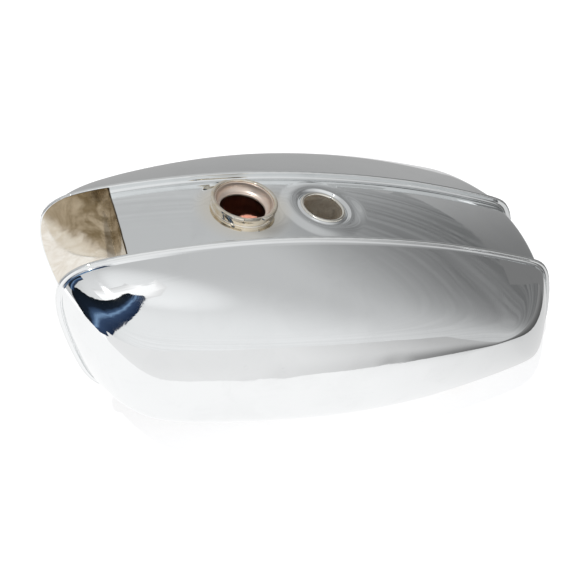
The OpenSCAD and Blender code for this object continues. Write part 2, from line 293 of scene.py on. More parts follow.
def arc(centre, radius, start, end, steps):
    """Points of an arc in a profile, angles in degrees."""
    angles = np.radians(np.linspace(start, end, steps))
    return [[centre[0] + radius * math.cos(a), centre[1] + radius * math.sin(a)] for a in angles]


def eased(share):
    """A share from 0 to 1 that starts and ends softly."""
    return share * share * (3 - 2 * share)


# ---------------------------------------------------------------- pressed sheet pieces


def apply_modifiers(obj):
    """Writes the result of a piece's modifiers into its mesh."""
    depsgraph = bpy.context.evaluated_depsgraph_get()
    mesh = bpy.data.meshes.new_from_object(obj.evaluated_get(depsgraph))
    mesh.name = obj.name
    obj.modifiers.clear()
    obj.data = mesh


def outer_rings(u):
    """Rings of the outer skin, from the flange's edge over the root's bend to the widest line."""
    face = SEAM_Y + SHEET
    rings = [outline_row(u, FLANGE_HEIGHT, SEAM_Y + FLANGE_GAP)]
    rings += [outline_row(u, FLANGE_HEIGHT * share, face) for share in (1, 0.86)]
    for angle in np.radians(np.linspace(0, 70, 9)):
        out = ROOT_FILLET * (1 - math.sin(angle)) - 0.1
        rings.append(outline_row(u, out, face + ROOT_FILLET * (1 - math.cos(angle))))
    scales = 0.9925 * np.cos(np.linspace(0, math.pi / 2, 72)[:-1])
    return rings + [lobe_at(u, scale) for scale in scales]


def zip_cap(first, count):
    """Faces that close a ring of an even count across its own middle line."""
    return [
        (first + i, first + i + 1, first + count - 2 - i, first + count - 1 - i)
        for i in range(count // 2 - 1)
    ]


def lobe(name, outside_material, inside_material, steps=28):
    """One side pressing with its flange, a bend at the root and its own sheet thickness."""
    count = SPANS * steps
    u = (np.arange(count) + 0.5) / steps
    inside_scales = (0.06, 0.2, 0.35, 0.5, 0.65, 0.78, 0.87, 0.93, 0.97, 0.985)
    rows = [lobe_at(u, s, skin=1.0) for s in inside_scales]
    rows.append(outline_row(u, -SHEET, SEAM_Y + FLANGE_GAP))
    rows += outer_rings(u)
    faces = quads(len(rows), count, closed_columns=True)
    cap = zip_cap(0, count)
    faces += cap + zip_cap((len(rows) - 1) * count, count)
    obj = new_object(name, np.concatenate(rows), faces, outside_material)
    obj.data.materials.append(inside_material)
    inside = np.zeros(len(faces), np.int32)
    inside[: len(inside_scales) * count] = 1
    start = (len(rows) - 1) * count
    inside[start: start + len(cap)] = 1
    obj.data.polygons.foreach_set("material_index", inside)
    fix_normals(obj)
    sharp_edges(obj, 50)
    return obj


def seam_weld(name, material, steps=44):
    """The weld bead over a seam, round in section, with the slight ripple of hand welding.

    The ripple's crests just reach the CAD bead's own height.
    """
    count = SPANS * steps
    u = np.arange(count) / steps
    turn = 2 * math.pi * u / SPANS
    ripple = 0.05 * np.sin(137 * turn + 2 * np.sin(9 * turn)) + 0.07 * np.sin(31 * turn + 1.3)
    rows = []
    for angle in np.radians(np.linspace(0, 180, 15)):
        rise = abs(math.sin(angle)) ** 0.8
        out = FLANGE_HEIGHT + (BEAD_HEIGHT - 0.12 + ripple) * rise
        y = SEAM_Y + (BEAD_HALF_WIDTH - 0.1 + 0.5 * ripple) * math.cos(angle)
        rows.append(outline_row(u, out, y))
    faces = quads(len(rows), count, closed_rows=True, closed_columns=True)
    obj = new_object(name, np.concatenate(rows), faces, material)
    fix_normals(obj)
    sharp_edges(obj, 60)
    return obj


def panel_section():
    """Half of the panel's upper line from the middle to the edge: [y, height] pairs."""
    radius = PANEL_EDGE_RADIUS
    crown = [[y, PANEL_CROWN - (PANEL_CROWN + PANEL_EDGE_DROP) * (y / INNER_Y) ** 2]
             for y in np.linspace(0, INNER_Y - radius, 52)]
    base = crown[-1][1]
    bend = arc((INNER_Y - radius, base + radius), radius, -84, 0, 9)
    edge = [[INNER_Y, h] for h in np.linspace(base + radius + 0.6, FLANGE_HEIGHT, 3)]
    return np.array(crown + bend + edge)


def front_station(height):
    """The station at which the top of the outline, moved out by height, meets the panel's front.

    It is found by halving the stretch of the outline that climbs over the nose.
    """
    low, high = 1.3, 2.8
    for _ in range(40):
        middle = (low + high) / 2
        if outline_at(np.array(middle), height)[0] < PANEL_FRONT_X:
            low = middle
        else:
            high = middle
    return high


def flatten_round(points, place, inner, outer, level):
    """Presses the panel to a turned piece's own level within one radius, and blends out to another.

    It gives the points and how far each is from the piece's axis.
    """
    local = (np.array(place.inverted()) @ np.c_[points * MM, np.ones(len(points))].T).T
    r = np.hypot(local[:, 0], local[:, 1]) / MM
    share = eased(np.clip((outer - r) / (outer - inner), 0, 1))
    near = abs(local[:, 2]) < PANEL_REACH * MM
    local[:, 2] = np.where(near, local[:, 2] * (1 - share) + level * MM * share, local[:, 2])
    back = (np.array(place) @ local.T).T[:, :3] / MM
    return back, np.where(near, r, TANK_LENGTH)


def panel_grid(begin, end, columns):
    """Points and faces of a panel between the seams; begin gives the first station at a height."""
    half = panel_section()
    section = np.concatenate([half[:0:-1] * [-1, 1], half])
    rows = [outline_row(np.linspace(begin(height), end, columns), height, y) for y, height in section]
    return np.concatenate(rows), quads(len(rows), columns)


def sheet_under(name, points, faces, material):
    """A piece of sheet with the given outer face, its thickness on the inside."""
    obj = new_object(name, points, faces, material)
    work = bmesh.new()
    work.from_mesh(obj.data)
    bmesh.ops.delete(work, geom=[v for v in work.verts if not v.link_faces], context="VERTS")
    bmesh.ops.recalc_face_normals(work, faces=work.faces)
    up = sum((f.normal.z + f.normal.x) * f.calc_area() for f in work.faces)
    if up < 0:
        bmesh.ops.reverse_faces(work, faces=work.faces)
    work.to_mesh(obj.data)
    work.free()
    solid = obj.modifiers.new("sheet", "SOLIDIFY")
    solid.thickness = SHEET * MM
    solid.offset = -1
    apply_modifiers(obj)
    sharp_edges(obj, 50)
    return obj


def crowned_panel(name, material):
    """The top panel, pressed flat around the filler and the tube, with a hole for each."""
    points, faces = panel_grid(front_station, PANEL_END, 620)
    neck_hole = NECK_WALL_R + 1
    points, from_neck = flatten_round(points, FILLER_PLACE, neck_hole, NECK_BLEND_R, 0)
    points, from_tube = flatten_round(points, TUBE_PLACE, COLLAR_R - 0.5, COLLAR_BLEND_R, -COLLAR_SINK)
    corners = np.array(faces)
    gone = (from_neck[corners].max(1) < neck_hole) | (from_tube[corners].max(1) < COLLAR_R - 0.2)
    return sheet_under(name, points, [f for f, skip in zip(faces, gone) if not skip], material)


def tail_sheet(name, material):
    """The panel that closes the tail, with the tunnel's arch cut out of it."""
    points, faces = panel_grid(lambda height: PANEL_END, TAIL_END, 200)
    sheet = sheet_under(name, points, faces, material)
    half_width = SEAM_Y + 0.01
    arch = [[-half_width, -300]] + arc((0, 0), half_width, 180, 0, 97) + [[half_width, -300]]
    front, back = ([[x, y, z] for y, z in arch] for x in (-100, 700))
    cutter = prism("arch_cutter", front, back, material)
    fall = Matrix.Rotation(math.radians(TUNNEL_FALL), 4, "Y")
    roof = Matrix.Translation((PANEL_FRONT_X * MM, 0, (TUNNEL_ROOF_Z - SEAM_Y) * MM))
    cutter.data.transform(roof @ fall)
    fix_normals(cutter)
    cut = sheet.modifiers.new("arch", "BOOLEAN")
    cut.object = cutter
    cut.solver = "EXACT"
    apply_modifiers(sheet)
    bpy.data.objects.remove(cutter)
    sharp_edges(sheet, 50)
    return sheet


def cheek(name, material):
    """The flat inner face of a lobe's nose, in front of the panel."""
    flat = outline_at(np.linspace(0, SPANS, SPANS * 40, endpoint=False), FLANGE_HEIGHT)
    nose = flat[:, 0] < PANEL_FRONT_X
    start = int(np.flatnonzero(nose & ~np.roll(nose, 1))[0])
    line = [p for p, keep in zip(np.roll(flat, -start, 0), np.roll(nose, -start)) if keep]
    corners = [[PANEL_FRONT_X, line[0][1]]] + line + [[PANEL_FRONT_X, line[-1][1]]]
    inner, outer = ([[x, y, z] for x, z in corners] for y in (INNER_Y, SEAM_Y))
    obj = prism(name, inner, outer, material)
    fix_normals(obj)
    sharp_edges(obj, 30)
    return obj


def softened(node, name, material, width=0.45):
    """A copy of a CAD piece with its sheet edges rounded."""
    obj = in_scene(name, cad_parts[node].data.copy())
    obj.data.materials.clear()
    obj.data.materials.append(material)
    fix_normals(obj)
    bevel = obj.modifiers.new("edge", "BEVEL")
    bevel.width = width * MM
    bevel.segments = 3
    bevel.limit_method = "ANGLE"
    bevel.angle_limit = math.radians(50)
    apply_modifiers(obj)
    obj.data.shade_smooth()
    sharp_edges(obj, 40)
    return obj


# ---------------------------------------------------------------- turned pieces


def filler_throat(name, material):
    """The neck's inside, from the rim down over a smooth funnel to a small rolled lip."""
    top = FILLER_HEIGHT - RIM_HEIGHT / 2
    drop = NECK_INNER_R - THROAT_R - NECK_WALL
    turns = np.linspace(0, math.pi / 2, 24)
    outside = [[NECK_INNER_R - drop * (1 - math.cos(t)), top * (1 - math.sin(t))] for t in turns]
    inside = [[r - NECK_WALL, h] for r, h in outside[::-1]]
    lip_r = NECK_WALL / 2
    lip = arc((THROAT_R + lip_r, lip_r - THROAT_LIP), lip_r, 0, -180, 9)
    return lathe(name, outside + lip + inside, material, FILLER_PLACE)


def rim_profile():
    """The neck from its foot up the wall and round the rolled rim."""
    centre_r = RIM_R - RIM_BEAD_R
    low = FILLER_HEIGHT - RIM_HEIGHT + RIM_BEAD_R
    high = FILLER_HEIGHT - RIM_BEAD_R
    wall = [[NECK_WALL_R, h] for h in np.linspace(-SHEET, low - RIM_BEAD_R - 0.5, 6)]
    under = arc((NECK_WALL_R + 0.5, low - RIM_BEAD_R - 0.5), 0.5, 180, 90, 5)
    rolled = arc((centre_r, low), RIM_BEAD_R, -90, 0, 10) + arc((centre_r, high), RIM_BEAD_R, 0, 90, 10)
    inner = arc((NECK_INNER_R + 1.0, FILLER_HEIGHT - 1.0), 1.0, 90, 180, 8)
    return wall + under + rolled + inner + [[NECK_INNER_R, 2], [NECK_INNER_R, -SHEET]]


def notched(points, angles):
    """Draws the rolled rim in to the wall where the two bayonet notches are."""
    r = np.hypot(points[:, 0], points[:, 1])
    share = np.zeros(len(points))
    for centre in (NOTCH_CENTRE, NOTCH_CENTRE + 180):
        away = abs((angles - centre + 180) % 360 - 180)
        share = np.maximum(share, np.clip((NOTCH_ANGLE / 2 - away) / NOTCH_SLOPE + 0.5, 0, 1))
    share = eased(share)
    limit = NECK_WALL_R + 0.4
    pull = np.where(r > limit, 1 - share * (1 - limit / np.maximum(r, 1)), 1)
    points[:, :2] *= pull[:, None]
    return points


def filler_neck(name, material, segments=360):
    """The neck, its rim rolled outwards and notched for the cap's claws."""
    profile = np.array(rim_profile())
    angles = np.arange(segments) * 360 / segments
    c, s = np.cos(np.radians(angles)), np.sin(np.radians(angles))
    points = np.concatenate([np.stack([r * c, r * s, np.full(segments, h)], -1) for r, h in profile])
    points = notched(points, np.tile(angles, len(profile)))
    faces = quads(len(profile), segments, closed_rows=True, closed_columns=True)
    obj = new_object(name, points, faces, material)
    obj.data.transform(FILLER_PLACE)
    fix_normals(obj)
    sharp_edges(obj, 45)
    return obj


def mounting_tube(name, mouth_material, inside_material):
    """The tube, bright at its outward-rolled mouth and dull from a little way down."""
    wall = [[TUBE_R, h] for h in np.linspace(-TUBE_LENGTH, -TUBE_BEAD_R, 12)]
    rolled = arc((TUBE_R + TUBE_BEAD_R, -TUBE_BEAD_R), TUBE_BEAD_R, 180, -90, 22)[1:]
    back = [[TUBE_R + TUBE_WALL, -2 * TUBE_BEAD_R - 0.3], [TUBE_R + TUBE_WALL, -TUBE_LENGTH]]
    tube = lathe(name, wall + rolled + back, mouth_material, TUBE_PLACE)
    mouth, axis = TUBE_PLACE.translation, TUBE_PLACE.col[2].to_3d()
    low = -BRIGHT_MOUTH * MM
    second_material(tube, inside_material, lambda centre: (centre - mouth).dot(axis) < low)
    return tube


def tube_collar(name, material):
    """The dished ring around the tube's mouth: a smooth groove with a soft outer lip."""
    inside_r = TUBE_R + 2 * TUBE_BEAD_R - 0.3
    top = []
    for s in np.linspace(0, 1, 48):
        groove = COLLAR_DISH * math.sin(math.pi * min(s / GROOVE_SHARE, 1)) ** 1.5
        drop = groove + COLLAR_SINK + (1 - s) ** 6
        top.append([inside_r + (COLLAR_R - inside_r) * s, -drop])
    under = [[r, h - SHEET] for r, h in top[::-1]]
    return lathe(name, top + under, material, TUBE_PLACE)


def neck_fillet(name, material):
    """The solder around the neck's foot, with a hollow face."""
    profile = arc((NECK_WALL_R + 1.5, 1.5), 1.5, 180, 270, 9) + [[NECK_WALL_R - 0.2, -0.4]]
    return lathe(name, profile, material, FILLER_PLACE)


def bolt_seat(name, material):
    """The thick washer that closes the tube's lower end, with its edges chamfered."""
    outer_r, chamfer = TUBE_R + TUBE_WALL, BOLT_SEAT_CHAMFER
    top = -TUBE_LENGTH
    low = top - BOLT_SEAT_H
    profile = [[BOLT_HOLE_R + chamfer, low], [outer_r - chamfer, low], [outer_r, low + chamfer],
               [outer_r, top], [BOLT_HOLE_R + chamfer, top], [BOLT_HOLE_R, top - chamfer],
               [BOLT_HOLE_R, low + chamfer]]
    seat = lathe(name, profile, material, TUBE_PLACE)
    sharp_edges(seat, 30)
    return seat


def threaded(name, material, place, outer_r, bore_r, length, pitch, floor=0.0, segments=72):
    """A turned boss with chamfered ends and a real helical thread in its bore.

    Its axis is local Z, its mouth at height length, and a floor above 0 leaves the bore blind.
    """
    chamfer = min(0.8, outer_r - bore_r - 0.3)
    depth = 0.32 * pitch
    outside = [[outer_r - chamfer, 0, 0], [outer_r, chamfer, 0], [outer_r, length - chamfer, 0],
               [outer_r - chamfer, length, 0], [bore_r + 0.45, length, 0]]
    rows = max(12, int(8 * (length - floor) / pitch))
    heights = np.linspace(length - 0.45, floor, rows)
    inside = [[bore_r, h, 1] for h in heights]
    end = [[0.02, floor, 0], [0.02, 0, 0]] if floor > 0 else []
    profile = outside + inside + end
    angles = np.linspace(0, 2 * math.pi, segments, endpoint=False)
    points = []
    for r, h, cut in profile:
        fade = min(1.0, (length - h) / pitch, (h - floor) / pitch + 0.2) if cut else 0.0
        tooth = 2 * abs((h / pitch - angles / (2 * math.pi)) % 1 - 0.5)
        radius = r - cut * max(fade, 0) * depth * (1 - tooth)
        x, y = radius * np.cos(angles), radius * np.sin(angles)
        points.append(np.stack([x, y, np.full(segments, h)], -1))
    faces = quads(len(profile), segments, closed_rows=True, closed_columns=True)
    obj = new_object(name, np.concatenate(points), faces, material)
    obj.data.transform(place)
    fix_normals(obj)
    sharp_edges(obj, 30)
    return obj


def join_as(name, pieces):
    """Several meshes as one object."""
    work = bmesh.new()
    for piece in pieces:
        work.from_mesh(piece.data)
    mesh = pieces[0].data.copy()
    work.to_mesh(mesh)
    work.free()
    mesh.name = name
    for piece in pieces:
        bpy.data.objects.remove(piece)
    obj = in_scene(name, mesh)
    obj.data.shade_smooth()
    sharp_edges(obj, 30)
    return obj


# ---------------------------------------------------------------- materials


def add(tree, kind, inputs=None, **settings):
    """A node with its settings, its inputs set to values or linked from other nodes' sockets."""
    node = tree.nodes.new("ShaderNode" + kind)
    for key, value in settings.items():
        setattr(node, key, value)
    for key, value in (inputs or {}).items():
        if isinstance(value, bpy.types.NodeSocket):
            tree.links.new(value, node.inputs[key])
        else:
            node.inputs[key].default_value = value
    return node


def shader_of(tree):
    return next(n for n in tree.nodes if n.type == "BSDF_PRINCIPLED")


def new_material(name):
    """A material with its tree, its shader and the place on the piece in metres."""
    material = bpy.data.materials.new(name)
    material.use_nodes = True
    tree = material.node_tree
    return material, tree, shader_of(tree), add(tree, "TexCoord").outputs["Object"]


def world_place(tree):
    return add(tree, "NewGeometry").outputs["Position"]


def part_of(tree, place, axis):
    """One of the X, Y and Z values of a place."""
    return add(tree, "SeparateXYZ", {"Vector": place}).outputs[axis]


def stretched(tree, place, scale):
    return add(tree, "Mapping", {"Vector": place, "Scale": scale}).outputs[0]


def noise(tree, place, scale, detail=2.0, roughness=0.5, distortion=0.0):
    values = {"Vector": place, "Scale": scale, "Detail": detail, "Roughness": roughness,
              "Distortion": distortion}
    return add(tree, "TexNoise", values).outputs["Fac"]


def ramp(tree, value, low, high, to_low=0.0, to_high=1.0):
    """A smooth step of a value between two limits."""
    values = {"Value": value, "From Min": low, "From Max": high, "To Min": to_low, "To Max": to_high}
    return add(tree, "MapRange", values, interpolation_type="SMOOTHSTEP").outputs[0]


def calc(tree, operation, a, b=0.0):
    return add(tree, "Math", {0: a, 1: b}, operation=operation).outputs[0]


def product(tree, first, *others):
    for other in others:
        first = calc(tree, "MULTIPLY", first, other)
    return first


def rgba(colour):
    return (*colour, 1.0)


def mix_colours(tree, share, a, b):
    """Colour a where the share is 0 and b where it is 1."""
    node = tree.nodes.new("ShaderNodeMix")
    node.data_type = "RGBA"
    for socket, value in ((node.inputs[0], share), (node.inputs[6], a), (node.inputs[7], b)):
        if isinstance(value, bpy.types.NodeSocket):
            tree.links.new(value, socket)
        elif isinstance(value, tuple):
            socket.default_value = rgba(value)
        else:
            socket.default_value = value
    return node.outputs[2]


def bumps(tree, layers):
    """The normal after a chain of bumps from (height, depth in millimetres) layers."""
    normal = None
    for height, depth in layers:
        inputs = {"Height": height, "Distance": depth * MM, "Strength": 1.0}
        if normal is not None:
            inputs["Normal"] = normal
        normal = add(tree, "Bump", inputs).outputs[0]
    return normal


def distance_from(tree, place, centre):
    """Distance in metres from a vertical line through a centre [x, y], in metres."""
    moved = add(tree, "VectorMath", {0: place, 1: (*centre, 0.0)}, operation="SUBTRACT").outputs[0]
    flat = add(tree, "VectorMath", {0: moved, 1: (1, 1, 0)}, operation="MULTIPLY").outputs[0]
    return add(tree, "VectorMath", {0: flat}, operation="LENGTH").outputs["Value"]


def swirls(tree, place, scale, rings):
    """Small circular polishing marks: rings around scattered centres."""
    cells = add(tree, "TexVoronoi", {"Vector": place, "Scale": scale}).outputs["Distance"]
    return calc(tree, "SINE", product(tree, cells, rings))


def plated(name, colour, roughness, wave=0.25, streak=0.02, haze=0.08, grain=(7, 70, 70),
           mottle=0.0, stain=None, metallic=1.0):
    """Plated metal: slow waves from hand polishing, streaks along the grain and a patchy haze.

    Wave and streak are depths in millimetres, haze is the roughness that patches add, grain is
    how many streaks fit in a metre each way, and mottle is how strongly a stain clouds the colour.
    """
    material, tree, shader, place = new_material(name)
    slow = noise(tree, place, 9.0, 1.0, 0.4, 0.3)
    streaks = noise(tree, stretched(tree, place, grain), 1.0, 3.0, 0.55, 0.6)
    fine = noise(tree, stretched(tree, place, tuple(9 * g for g in grain)), 1.0, 2.0, 0.6)
    marks = swirls(tree, place, 55.0, 60.0)
    patches = ramp(tree, noise(tree, place, 22.0, 3.0, 0.6, 0.8), 0.40, 0.75)
    rough = calc(tree, "ADD", product(tree, patches, fine, 2 * haze), roughness)
    dull = tuple(0.93 * c for c in colour)
    base = mix_colours(tree, product(tree, patches, streaks, 0.8), colour, dull)
    if mottle:
        cloud = ramp(tree, noise(tree, place, 38.0, 5.0, 0.65, 1.2), 0.35, 0.7)
        base = mix_colours(tree, product(tree, cloud, mottle), base, stain)
        rough = calc(tree, "ADD", rough, product(tree, cloud, 0.05))
    tree.links.new(base, shader.inputs["Base Color"])
    shader.inputs["Metallic"].default_value = metallic
    tree.links.new(rough, shader.inputs["Roughness"])
    layers = [(slow, wave), (streaks, streak), (fine, 0.12 * streak),
              (product(tree, marks, patches), 0.003)]
    tree.links.new(bumps(tree, layers), shader.inputs["Normal"])
    return material


lobe_chrome = plated("lobe_chrome", (0.88, 0.89, 0.895), 0.025, wave=0.5, streak=0.045, haze=0.06,
                     grain=(4, 60, 60))
panel_chrome = plated("panel_chrome", (0.85, 0.865, 0.87), 0.03, wave=0.5, streak=0.03, haze=0.07,
                      grain=(12, 60, 60))
weld_chrome = plated("weld_chrome", (0.86, 0.87, 0.87), 0.05, wave=0.1, streak=0.03, haze=0.08,
                     grain=(160, 160, 160))
neck_nickel = plated("neck_nickel", (0.90, 0.85, 0.76), 0.04, wave=0.02, streak=0.004, haze=0.06,
                     grain=(60, 60, 60), mottle=0.5, stain=(0.70, 0.55, 0.34))
throat_nickel = plated("throat_nickel", (0.78, 0.68, 0.60), 0.30, wave=0.05, streak=0.02, haze=0.15,
                       grain=(80, 80, 80), mottle=0.4, stain=(0.60, 0.46, 0.38), metallic=0.75)
tube_nickel = plated("tube_nickel", (0.88, 0.86, 0.80), 0.07, wave=0.05, streak=0.02, haze=0.10,
                     grain=(60, 60, 60), mottle=0.3, stain=(0.74, 0.66, 0.52))
tube_inside = plated("tube_inside", (0.86, 0.81, 0.72), 0.27, wave=0.08, streak=0.03, haze=0.2,
                     grain=(90, 90, 90), mottle=0.8, stain=(0.44, 0.36, 0.27), metallic=0.8)
recess_nickel = plated("recess_nickel", (0.84, 0.81, 0.75), 0.04, wave=0.3, streak=0.01, haze=0.10,
                       grain=(30, 30, 30), mottle=0.35, stain=(0.52, 0.42, 0.30))
tunnel_steel = plated("tunnel_steel", (0.55, 0.54, 0.52), 0.34, wave=0.3, streak=0.03, haze=0.2,
                      grain=(20, 50, 50), mottle=0.5, stain=(0.36, 0.31, 0.27))
boss_brass = plated("boss_brass", (0.80, 0.62, 0.34), 0.22, wave=0.02, streak=0.006, haze=0.15,
                    grain=(200, 200, 200), mottle=0.3, stain=(0.55, 0.40, 0.22))


def painted_neck_reflection(tree, place):
    """Painted reflection: a warm golden tint on the chrome around the filler's foot, in place of the
    neck mirrored in the panel.
    """
    near = ramp(tree, distance_from(tree, place, FILLER_PLACE.translation.xy), 0.052, 0.030)
    return near, (0.86, 0.82, 0.74)


def painted_edge_shade(tree, place):
    """Painted shade: a dark line along the front edge of the panel, in place of the shadow in the gap
    by the cheek.
    """
    wavy = product(tree, noise(tree, place, 60.0, 2.0, 0.5), 0.0012)
    front = PANEL_FRONT_X * MM
    along = calc(tree, "ADD", part_of(tree, place, "X"), wavy)
    return ramp(tree, along, front + 0.0024, front + 0.0016), (0.10, 0.075, 0.045)


def painted_recess_shade(tree, place):
    """Painted shade: a dark golden-brown cloud in the recess under the panel's front edge, which fades
    out down the nose.
    """
    slope = add(tree, "VectorMath", {0: place, 1: (0.72, 0, 0.69)}, operation="DOT_PRODUCT")
    wavy = product(tree, noise(tree, place, 30.0, 3.0, 0.6, 0.8), 0.03)
    share = ramp(tree, calc(tree, "ADD", slope.outputs["Value"], wavy), -0.022, -0.008)
    cloud = ramp(tree, noise(tree, place, 24.0, 5.0, 0.65, 1.5), 0.35, 0.65)
    return share, mix_colours(tree, cloud, (0.22, 0.17, 0.10), (0.50, 0.43, 0.33))


def lay_painted_light(material, *painted_marks):
    """Lays painted light, reflections and shade alike, over a material's colour; each function gives
    its share and its own colour.
    """
    tree = material.node_tree
    target = shader_of(tree).inputs["Base Color"]
    colour = target.links[0].from_socket
    for build in painted_marks:
        share, painted_colour = build(tree, world_place(tree))
        colour = mix_colours(tree, share, colour, painted_colour)
    tree.links.new(colour, target)


# Painted light: the neck's reflection and a shade line on the panel, and shade in the nose recess.
lay_painted_light(panel_chrome, painted_neck_reflection, painted_edge_shade)
lay_painted_light(recess_nickel, painted_recess_shade)


def primed_inside():
    """The bare inside of the tank: coppery primer with darker runs."""
    material, tree, shader, place = new_material("primed_inside")
    runs = ramp(tree, noise(tree, stretched(tree, place, (30, 30, 8)), 1.0, 4.0, 0.6, 0.5), 0.3, 0.75)
    base = mix_colours(tree, runs, (0.62, 0.27, 0.19), (0.36, 0.16, 0.11))
    tree.links.new(base, shader.inputs["Base Color"])
    tree.links.new(ramp(tree, runs, 0, 1, 0.45, 0.65), shader.inputs["Roughness"])
    tree.links.new(bumps(tree, [(runs, 0.2)]), shader.inputs["Normal"])
    return material


inside_primer = primed_inside()


# ---------------------------------------------------------------- the pieces


def finish_pair(right_piece, slot, piece, node):
    """Makes the left-hand twin of a right-hand piece and fixes both to the tank, hiding their CAD
    nodes.
    """
    left_piece = mirrored(right_piece, "left_" + piece)
    finish_piece(right_piece, slot, "right_" + node)
    finish_piece(left_piece, slot, "left_" + node)


finish_pair(lobe("right_lobe", lobe_chrome, inside_primer), "bright_chrome", "lobe", "side_pressing")
finish_pair(seam_weld("right_seam_weld", weld_chrome), "bright_chrome", "seam_weld", "seam_bead")
finish_piece(crowned_panel("crowned_panel", panel_chrome), "bright_chrome", "top_panel")
finish_piece(tail_sheet("tail_sheet", panel_chrome), "bright_chrome", "tail_panel")
finish_pair(cheek("right_nose_cheek", recess_nickel), "warm_nickel", "nose_cheek", "head_cheek")

for node, material, slot in (
    ("tunnel_pressing", tunnel_steel, "tunnel_steel"),
    ("head_closing_plate", recess_nickel, "warm_nickel"),
):
    finish_piece(softened(node, node + "_softened", material), slot, node)

for piece, slot, node in (
    (filler_neck("rolled_filler_neck", neck_nickel), "warm_nickel", "filler_neck"),
    (filler_throat("throat_funnel", throat_nickel), "warm_nickel", "filler_throat"),
    (neck_fillet("neck_solder", neck_nickel), "warm_nickel", "filler_solder_fillet"),
    (mounting_tube("rolled_tube", tube_nickel, tube_inside), "warm_nickel", "mounting_tube"),
    (tube_collar("dished_collar", panel_chrome), "warm_nickel", "tube_collar"),
    (bolt_seat("chamfered_bolt_seat", tunnel_steel), "tunnel_steel", "bolt_seat"),
):
    finish_piece(piece, slot, node)


def under_lobe(station, rise):
    """The place of a fitting under the right-hand lobe: it points down from inside the skin."""
    x, y, z = lobe_at(np.array(station), UNDERSIDE_SCALE)
    return toward((x, y, z + rise), (0, 0, -1))


def tap_boss(name):
    return threaded(name, boss_brass, under_lobe(TAP_STATION, TAP_RISE), **TAP_BOSS)


def tie_boss(name):
    return threaded(name, tunnel_steel, under_lobe(TIE_STATION, TIE_RISE), **TIE_BOSS)


def balance_spigot(name):
    """A stub for the balance pipe: a collar in the sheet, a plain tube and an eased tip."""
    profile = [[2.8, 0], [5.5, 0], [6, 0.5], [6, 8.5], [5.5, 9], [4.4, 9], [4, 9.4], [4, 24.3]]
    profile += arc((3.3, 24.3), 0.7, 0, 90, 5) + [[2.8, 25]]
    spigot = lathe(name, profile, boss_brass, under_lobe(SPIGOT_STATION, SPIGOT_RISE), segments=96)
    sharp_edges(spigot, 30)
    return spigot


def lobe_facing(station, scale, step=0.01):
    """The direction that the outside of the right-hand lobe faces."""
    along = lobe_at(np.array(station + step), scale) - lobe_at(np.array(station - step), scale)
    across = lobe_at(np.array(station), scale + step) - lobe_at(np.array(station), scale - step)
    normal = np.cross(along, across)
    return normal / np.linalg.norm(normal) * np.sign(normal[1])


def badge_bushes(name):
    """Two blind bushes square to the skin, plated with it, so that little more than holes show."""
    bushes = []
    for station, scale in BADGE_PLACES:
        normal = lobe_facing(station, scale)
        mouth = lobe_at(np.array(station), scale) + BUSH_PROUD * normal
        place = toward(mouth - BADGE_BUSH["length"] * normal, normal)
        bush = threaded(name, lobe_chrome, place, **BADGE_BUSH)
        top, outwards, plating = Vector(mouth) * MM, Vector(normal), BUSH_PLATING * MM
        second_material(bush, boss_brass, lambda centre: (top - centre).dot(outwards) > plating)
        bushes.append(bush)
    return join_as(name, bushes)


# Each fitting's function has the name of its CAD node, without the side.
for build, slot in (
    (tap_boss, "solid_brass"),
    (balance_spigot, "solid_brass"),
    (tie_boss, "tunnel_steel"),
    (badge_bushes, "solid_brass"),
):
    node = build.__name__
    finish_pair(build("right_turned_" + node), slot, "turned_" + node, node)


# ---------------------------------------------------------------- stage


def toward_sky(azimuth, elevation):
    """Unit vector at an azimuth from the front (-Y) towards the tail, and an elevation."""
    a, e = math.radians(azimuth), math.radians(elevation)
    return Vector((math.sin(a) * math.cos(e), -math.cos(a) * math.cos(e), math.sin(e)))


def card(name, points, faces, material):
    """A studio card, with its points in metres, that only shows in reflections."""
    obj = new_object(name, np.array(points) / MM, faces, material)
    for ray in ("camera", "diffuse", "shadow", "transmission"):
        setattr(obj, "visible_" + ray, False)
    return obj


def sky_card(name, rows, distance, material):
    """A card hung around the nose, from rows of (elevation, first azimuth, last azimuth)."""
    nose = Vector((-0.17, -0.10, 0.15))
    shares = [k / 4 for k in range(5)]
    points = [
        nose + distance * toward_sky(first + (last - first) * share, elevation)
        for elevation, first, last in rows
        for share in shares
    ]
    obj = card(name, points, quads(len(rows), len(shares)), material)
    along = obj.data.attributes.new("share", "FLOAT", "POINT")
    along.data.foreach_set("value", shares * len(rows))


def glowing(name, build):
    """An emission material whose colour comes from a function of the node tree."""
    material = bpy.data.materials.new(name)
    material.use_nodes = True
    tree = material.node_tree
    tree.nodes.clear()
    shader = add(tree, "Emission", {"Color": build(tree)})
    output = add(tree, "OutputMaterial")
    tree.links.new(shader.outputs[0], output.inputs["Surface"])
    return material


def stepped(tree, value, stops):
    """A colour ramp from (position, grey or colour) stops."""
    node = add(tree, "ValToRGB", {"Fac": value})
    elements = node.color_ramp.elements
    while len(elements) < len(stops):
        elements.new(0.5)
    for element, (position, colour) in zip(elements, stops):
        element.position = position
        element.color = rgba(colour) if isinstance(colour, tuple) else rgba((colour,) * 3)
    return node.outputs["Color"]


def along_card(tree):
    """How far along a sky card's rows a point lies, from 0 to 1."""
    return add(tree, "Attribute", attribute_name="share").outputs["Fac"]


def navy(tree):
    """Dark cloth with one pale blue fold."""
    return stepped(tree, along_card(tree), (
        (0, (0.006, 0.009, 0.012)), (0.40, (0.010, 0.016, 0.028)), (0.52, (0.05, 0.09, 0.17)),
        (0.60, (0.20, 0.32, 0.50)), (0.69, (0.04, 0.07, 0.14)), (1, (0.012, 0.022, 0.05)),
    ))


def window(tree):
    """A bright strip with softer ends."""
    return stepped(tree, along_card(tree), ((0, 0.68), (0.3, 1.15), (0.7, 1.1), (1, 0.8)))


